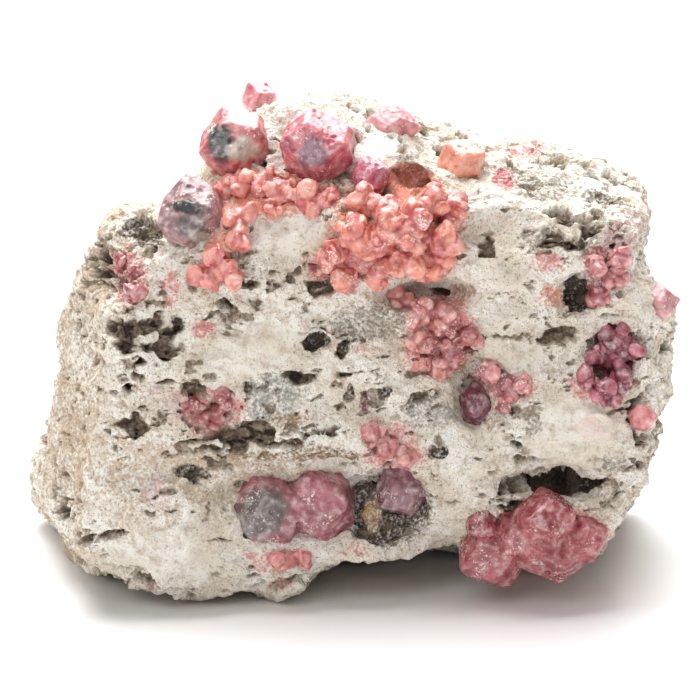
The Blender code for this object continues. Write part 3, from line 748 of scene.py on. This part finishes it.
def garnet_material(name, roughness, glow):
    """Cloudy garnet of the colour that its points carry, frosted white in places."""
    material = bpy.data.materials.new(name)
    material.use_nodes = True
    tree = material.node_tree
    place = add_node(tree, "ShaderNodeTexCoord").outputs["Object"]
    tint = add_node(tree, "ShaderNodeAttribute", attribute_name="tint").outputs["Color"]
    haze = add_node(tree, "ShaderNodeAttribute", attribute_name="haze").outputs["Fac"]
    cloud = grain(tree, place, 0.0012, 3.0)
    fleck = grain(tree, place, 0.00035, 2.0)
    milky = blend_colours(tree, 0.45, tint, (0.90, 0.80, 0.76))
    deep = add_node(tree, "ShaderNodeHueSaturation", color=tint, saturation=1.2, value=0.62).outputs["Color"]
    clouded = blend_colours(tree, ramp(tree, cloud, 0.50, 0.72), tint, milky)
    clouded = blend_colours(tree, ramp(tree, cloud, 0.46, 0.30), clouded, deep)
    frost = sums(tree, "MULTIPLY_ADD", sums(tree, "SUBTRACT", fleck, 0.5), 1.6, haze)
    colour = blend_colours(tree, ramp(tree, frost, 0.42, 0.62), clouded, (0.83, 0.78, 0.73))
    surface = tree.nodes["Principled BSDF"]
    tree.links.new(colour, surface.inputs["Base Color"])
    dull = sums(tree, "MULTIPLY_ADD", ramp(tree, frost, 0.3, 0.6), 0.5, roughness)
    tree.links.new(dull, surface.inputs["Roughness"])
    surface.inputs["IOR"].default_value = 1.73
    surface.inputs["Subsurface Weight"].default_value = glow
    surface.inputs["Subsurface Radius"].default_value = (0.0012, 0.0004, 0.0004)
    surface.inputs["Subsurface Scale"].default_value = 1.0
    relief = sums(tree, "ADD", sums(tree, "MULTIPLY", cloud, 0.5), sums(tree, "MULTIPLY", fleck, 0.5))
    bump = add_node(tree, "ShaderNodeBump", height=relief, strength=0.35, distance=0.0002)
    tree.links.new(bump.outputs["Normal"], surface.inputs["Normal"])
    return material


GARNET_PAINTS = {
    "pink_garnet": garnet_material("pink_garnet", 0.28, 0.35),
    "coral_garnet": garnet_material("coral_garnet", 0.28, 0.4),
    "red_garnet": garnet_material("red_garnet", 0.24, 0.3),
    "plum_garnet": garnet_material("plum_garnet", 0.24, 0.2),
    "grey_garnet": garnet_material("grey_garnet", 0.32, 0.15),
}

# Each crust: its finish, its palest and its deepest colour (the deepest is also painted shade in the
# creases between grains), how frosted it is, then for each crystal right, up, half width and how far
# its centre stands out. Each crystal is made as several grains.
CRUSTS_MM = {
    "crust_upper": ("coral_garnet", (0.80, 0.34, 0.27), (0.62, 0.16, 0.15), 0.25, (
        (-19.6, 24.6, 2.0, 0.3), (-16.3, 25.6, 2.2, 0.4), (-12.9, 26.0, 2.2, 0.3),
        (-9.8, 24.2, 2.0, 0.2), (-6.6, 23.0, 2.2, 0.4), (-11.8, 21.8, 1.8, 0.2),
        (-3.2, 23.6, 1.8, 0.3),
    )),
    "crust_left": ("coral_garnet", (0.82, 0.36, 0.29), (0.62, 0.18, 0.17), 0.22, (
        (-17.0, 20.4, 2.4, 0.4), (-17.6, 17.0, 2.0, 0.2), (-21.0, 14.6, 1.8, 0.1),
        (-22.4, 11.8, 2.0, 0.2), (-18.4, 11.6, 2.2, 0.4),
    )),
    "crust_centre": ("coral_garnet", (0.82, 0.33, 0.24), (0.58, 0.14, 0.13), 0.30, (
        (2.4, 22.4, 2.2, 0.3), (5.9, 21.2, 2.6, 0.6), (0.4, 18.4, 2.4, 0.4),
        (4.4, 16.8, 2.8, 0.8), (9.3, 18.2, 3.2, 1.0), (12.2, 22.4, 2.6, 0.5),
        (15.6, 21.2, 2.4, 0.4), (14.2, 16.4, 2.8, 0.6), (-2.3, 14.8, 2.4, 0.5),
        (-0.6, 11.4, 2.0, 0.2), (4.2, 11.2, 2.4, 0.3), (8.2, 13.4, 2.6, 0.6),
        (12.6, 12.6, 2.4, 0.3),
    )),
    "crust_cleft": ("pink_garnet", (0.72, 0.32, 0.29), (0.40, 0.10, 0.10), 0.30, (
        (8.0, 7.4, 2.0, 0.1), (11.2, 5.4, 2.2, 0.3), (14.8, 4.2, 2.2, 0.4),
        (11.6, 1.0, 2.0, 0.2), (15.4, 0.2, 2.2, 0.5), (14.2, -2.8, 1.8, 0.1),
        (18.6, 2.4, 2.0, 0.2),
    )),
    "crust_middle": ("pink_garnet", (0.68, 0.28, 0.28), (0.36, 0.10, 0.11), 0.3, (
        (22.0, -3.2, 1.6, 0.2), (24.2, -5.8, 1.8, 0.3), (27.0, -5.0, 1.6, 0.2),
        (24.0, -8.8, 1.5, 0.2),
    )),
    "crust_right": ("plum_garnet", (0.55, 0.17, 0.22), (0.20, 0.04, 0.06), 0.1, (
        (38.2, -0.8, 1.8, 0.2), (39.8, 1.8, 1.8, 0.3), (42.4, 2.8, 1.8, 0.2),
        (43.6, -0.2, 1.8, 0.3), (40.8, -1.9, 2.2, 0.5), (41.8, -4.4, 1.8, 0.2),
        (37.0, -4.6, 1.7, 0.2), (40.2, -7.0, 1.8, 0.2),
    )),
    "crust_upper_right": ("pink_garnet", (0.72, 0.31, 0.30), (0.38, 0.10, 0.12), 0.2, (
        (38.8, 8.2, 1.7, 0.1), (40.6, 11.2, 1.8, 0.2), (38.0, 13.6, 1.6, 0.1),
        (41.6, 14.8, 1.8, 0.2),
    )),
    "crust_west": ("red_garnet", (0.60, 0.24, 0.24), (0.28, 0.06, 0.07), 0.2, (
        (-35.7, 13.7, 1.6, 0.1), (-33.5, 11.7, 1.8, 0.2), (-33.4, 8.6, 1.8, 0.1),
    )),
    "crust_lower_middle": ("pink_garnet", (0.72, 0.36, 0.33), (0.48, 0.15, 0.15), 0.3, (
        (3.6, -13.0, 1.8, 0.2), (6.2, -15.2, 2.0, 0.3), (9.2, -16.8, 1.8, 0.1),
    )),
    "crust_lower_left": ("pink_garnet", (0.66, 0.28, 0.27), (0.34, 0.08, 0.09), 0.25, (
        (-24.4, -8.6, 1.5, 0.1), (-21.6, -10.6, 1.8, 0.2), (-19.2, -8.0, 1.6, 0.1),
    )),
    "crust_base": ("pink_garnet", (0.72, 0.28, 0.26), (0.45, 0.12, 0.12), 0.2, (
        (-7.6, -32.2, 1.8, 0.3), (-10.6, -32.9, 1.7, 0.2),
    )),
}
for name, (finish, pale, deep, frosted, crystals) in CRUSTS_MM.items():
    rng = random.Random(name)
    grains = cluster_grains(rng, crystals, block_skin)
    crust, luck, crease = grown_crust(name + "_grains", grains, 0.00020, name)
    # Painted shade: in the creases between grains the colour goes to the deepest one and the frost is
    # cleared.
    share = np.clip(luck * 1.1 - 0.9 * crease, 0, 1)[:, None]
    points = coordinates(crust.data)
    haze = frosted * (0.9 + 1.1 * unevenness(points, 0.0022, 2, 71)) * (1 - crease)
    tinted(crust.data, np.array(deep) + (np.array(pale) - np.array(deep)) * share, haze)
    crust.data.materials.clear()
    crust.data.materials.append(GARNET_PAINTS[finish])
    for face in crust.data.polygons:
        face.use_smooth = True
    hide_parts(name)
    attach(crust, "root")


# The large garnets: glassy crystals with flat faces, pink to raspberry and plum, each grown in the
# matrix and half buried in it. Two at the left are broken open and show dark, speckled hearts.
# The faces of each are those of a dodecahedron with cut edges, one face turned to the eye.
FRONT_FACES = np.array([
    (0, 0, 1), (0.5, 0.7071, 0.5), (-0.5, 0.7071, 0.5), (0.5, -0.7071, 0.5), (-0.5, -0.7071, 0.5),
    (1, 0, 0), (-1, 0, 0), (0.5, 0.7071, -0.5), (-0.5, 0.7071, -0.5), (0.5, -0.7071, -0.5),
    (-0.5, -0.7071, -0.5), (0, 0, -1),
])
SIGHT_AXES = np.array([RIGHT, UP, -AWAY])


def cut_crystal(rng, centre, half_width, stretch, turn, cut=0.955):
    """A crystal's mesh parts: a block cut by the dodecahedron's faces and across their edges."""
    spin = np.array(Euler([math.radians(angle) for angle in turn]).to_matrix())
    faces = FRONT_FACES @ spin.T
    reach = np.array([half_width * (1 + rng.uniform(-0.09, 0.09)) for _ in faces])
    planes = list(zip(faces, reach))
    for one, other in itertools.combinations(range(12), 2):
        if 0.4 < faces[one] @ faces[other] < 0.6:
            way = faces[one] + faces[other]
            distance = 1.1547 * (reach[one] + reach[other]) / 2 * (cut + rng.uniform(-0.02, 0.03))
            planes.append((way / np.linalg.norm(way), distance))
    bm = bmesh.new()
    bmesh.ops.create_cube(bm, size=4 * half_width)
    for way, distance in planes:
        way = Vector(way)
        side = bmesh.ops.bisect_plane(
            bm, geom=bm.verts[:] + bm.edges[:] + bm.faces[:], dist=1e-8,
            plane_co=way * distance, plane_no=way, clear_outer=True,
        )
        rim = [piece for piece in side["geom_cut"] if isinstance(piece, bmesh.types.BMEdge)]
        if rim:
            bmesh.ops.holes_fill(bm, edges=rim, sides=0)
    bmesh.ops.triangulate(bm, faces=bm.faces[:])
    bmesh.ops.recalc_face_normals(bm, faces=bm.faces[:])
    points = np.array([vert.co for vert in bm.verts]) * np.array(stretch)
    for index, vert in enumerate(bm.verts):
        vert.index = index
    triangles = np.array([[vert.index for vert in face.verts] for face in bm.faces])
    bm.free()
    return points @ SIGHT_AXES + np.array(centre), triangles


# For each: finish, main colour, deep colour, then its crystals: right, up, half width, stand,
# stretch to the right, up and to the eye, and turn in degrees.
LARGE_MM = {
    "garnet_crest": ("pink_garnet", (0.76, 0.28, 0.31), (0.50, 0.12, 0.16), (
        (-13.9, 39.0, 2.5, 0.4, (1.0, 1.0, 1.0), (20, 10, 35)),)),
    "garnet_upper_left": ("pink_garnet", (0.62, 0.20, 0.20), (0.40, 0.10, 0.11), (
        (-17.6, 31.9, 4.8, 0.6, (1.05, 1.0, 0.9), (-8, -12, 20)),)),
    "garnet_left": ("grey_garnet", (0.38, 0.20, 0.21), (0.22, 0.12, 0.13), (
        (-24.4, 21.0, 4.6, 0.6, (1.0, 1.05, 0.95), (6, -14, 8)),)),
    "garnet_top": ("pink_garnet", (0.62, 0.17, 0.20), (0.38, 0.06, 0.09), (
        (-5.0, 31.3, 4.8, 1.2, (1.05, 0.95, 1.0), (-6, -10, 4)),)),
    "garnet_ridge": ("pink_garnet", (0.74, 0.34, 0.36), (0.52, 0.18, 0.2), (
        (6.3, 34.6, 3.2, -0.6, (1.1, 0.8, 1.0), (20, 30, 10)),)),
    "garnet_magenta": ("red_garnet", (0.55, 0.14, 0.20), (0.32, 0.05, 0.09), (
        (3.3, 26.9, 2.6, 0.4, (1.0, 1.0, 1.0), (15, 20, 30)),)),
    "garnet_coral": ("coral_garnet", (0.82, 0.36, 0.24), (0.62, 0.18, 0.13), (
        (17.1, 29.0, 3.4, 0.2, (1.0, 0.9, 1.0), (25, 12, 40)),)),
    "garnet_right_edge": ("pink_garnet", (0.68, 0.36, 0.38), (0.48, 0.18, 0.2), (
        (48.2, 7.3, 2.3, 0.2, (1.0, 1.0, 1.0), (10, 40, 15)),)),
    "garnet_right_lower": ("pink_garnet", (0.70, 0.27, 0.27), (0.45, 0.11, 0.12), (
        (45.3, -10.4, 1.8, 0.3, (1.0, 1.0, 1.0), (35, 10, 20)),)),
    "garnet_cleft": ("plum_garnet", (0.30, 0.10, 0.13), (0.14, 0.04, 0.06), (
        (19.6, -8.6, 2.8, 0.3, (0.9, 1.1, 1.0), (12, 25, 5)),)),
    "garnet_hollow": ("plum_garnet", (0.30, 0.14, 0.17), (0.14, 0.05, 0.07), (
        (8.1, -21.7, 3.4, 0.4, (1.0, 1.0, 1.0), (18, -15, 25)),)),
    "garnet_pair": ("grey_garnet", (0.48, 0.16, 0.19), (0.24, 0.08, 0.10), (
        (-13.0, -25.6, 5.0, 0.6, (1.05, 1.0, 0.9), (10, 14, 30)),
        (-4.8, -24.4, 5.4, 0.8, (0.95, 1.05, 0.95), (-6, -10, 12)),)),
    "garnet_foot": ("red_garnet", (0.50, 0.13, 0.15), (0.26, 0.05, 0.06), (
        (22.1, -31.0, 4.7, -0.4, (1, 1, 1), (10, -20, 20)),
        (31.2, -30.6, 4.4, -0.8, (1.2, 0.9, 1), (0, 10, 8)),
        (30.0, -26.6, 4.0, 0.2, (1, 1, 1), (-10, 15, 5)),
        (20.4, -27.4, 2.2, 0.6, (1, 1, 1), (30, 10, 0)),
        (36.4, -29.4, 3.0, -0.4, (1, 1, 1), (15, 25, 30)),
        (26.4, -28.8, 3.2, 0.4, (1, 1, 1), (5, -15, 40)),)),
}
# Spots on the crystals: colour, how full it is, then right, up, half length, half width and lean.
SPOTS_MM = (
    ((0.035, 0.033, 0.033), 1.0, (-19.7, 32.0, 2.1, 3.3, 10)),
    ((0.50, 0.44, 0.37), 1.0, (-17.0, 31.2, 2.0, 2.0, 0)),
    ((0.035, 0.033, 0.033), 1.0, (-25.3, 21.9, 2.8, 1.5, 0)),
    ((0.12, 0.11, 0.11), 0.9, (-24.1, 18.4, 2.5, 2.0, 0)),
    ((0.45, 0.42, 0.36), 0.9, (-23.6, 17.6, 1.5, 1.0, 0)),
    ((0.20, 0.12, 0.17), 0.8, (-5.8, 30.6, 2.2, 2.5, 0)),
    ((0.15, 0.14, 0.13), 0.9, (-13.8, -25.4, 4.6, 4.4, 0)),
    ((0.26, 0.22, 0.22), 0.7, (-16.0, -28.2, 2.0, 1.8, 30)),
)


for name, (finish, main, deep, crystals) in LARGE_MM.items():
    rng = random.Random(name)
    shells = []
    for right, up, half_width, stand, stretch, turn in crystals:
        centre, _ = sight_place(block_skin, right, up, stand)
        shells.append(cut_crystal(rng, centre, half_width / 1000, stretch, turn))
    crystal = linked(name + "_faces", shells_mesh(name, shells))
    evened(crystal, 0.00020)
    points, outward = coordinates(crystal.data), normals(crystal.data)
    steps = unevenness(points, 0.0035, 2, 81)
    etched = unevenness(points, 0.0006, 3, 82)
    far, luck = lumps(points, 0.0011, 83)
    chips = (luck < 0.10) * dome(far, 0.6)
    height = 0.00012 * np.round(steps * 4) / 2 + 0.00006 * etched - 0.00030 * chips
    move_points(crystal.data, points + outward * height[:, None])
    right, up = ragged_places(points)
    share = np.clip(0.65 + 0.9 * unevenness(points, 0.003, 3, 84), 0, 1)[:, None]
    colours = np.array(deep) + (np.array(main) - np.array(deep)) * share
    facing = np.clip((facing_eye(points, outward) + 0.1) / 0.3, 0, 1)
    for spot, fullness, place in SPOTS_MM:
        near = np.clip((1.1 - patch_distance(right, up, place)) / 0.3, 0, 1) * fullness * facing
        colours += (np.array(spot) - colours) * near[:, None]
    haze = np.clip(0.12 + 0.45 * unevenness(points, 0.0028, 2, 85), 0, 1)
    tinted(crystal.data, colours, haze)
    crystal.data.materials.clear()
    crystal.data.materials.append(GARNET_PAINTS[finish])
    for face in crystal.data.polygons:
        face.use_smooth = True
    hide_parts(name)
    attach(crystal, "root")
